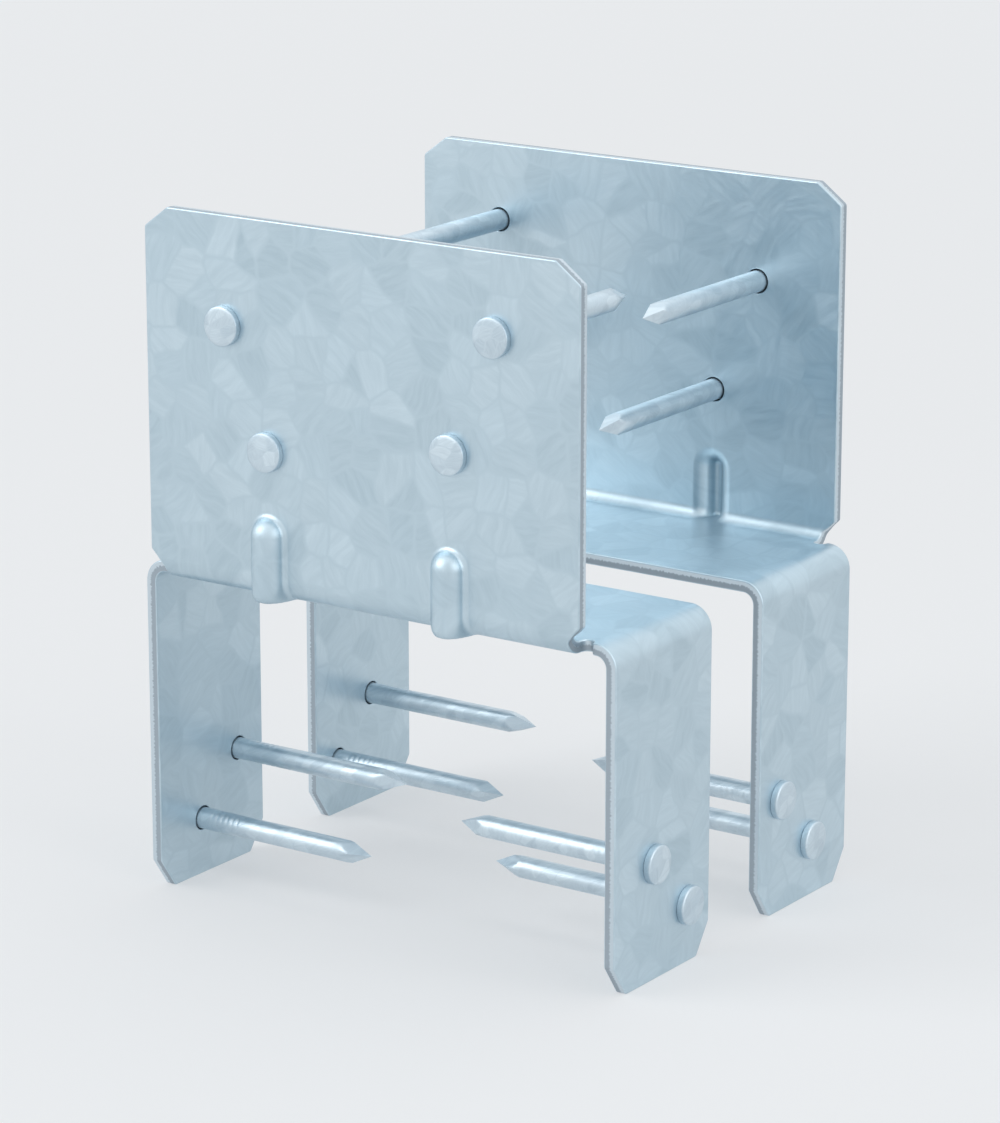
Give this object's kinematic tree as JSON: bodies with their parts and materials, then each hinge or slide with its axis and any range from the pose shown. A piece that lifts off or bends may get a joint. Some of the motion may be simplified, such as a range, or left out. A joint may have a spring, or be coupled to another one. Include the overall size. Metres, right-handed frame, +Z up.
{
  "type": "column cap",
  "caption": "Two-piece folded sheet-steel cap that seats a two-ply beam on a square post, with clipped plates, pressed beads and staggered nail holes.",
  "frame": {"origin": "on the post's axis, midway between the two halves, level with the tips of the legs", "axes": "+Z up from the post to the beam, +X along the beam, +Y across the beam from the front half to the rear"},
  "size_m": [0.0944, 0.087, 0.1207],
  "materials": {
    "galvanised_sheet": "hot-dip galvanised sheet, satin, pale blue-grey with a fine spangle"
  },
  "bodies": {
    "root": {"front_cap_half": "galvanised_sheet", "rear_cap_half": "galvanised_sheet"}
  },
  "joints": []
}
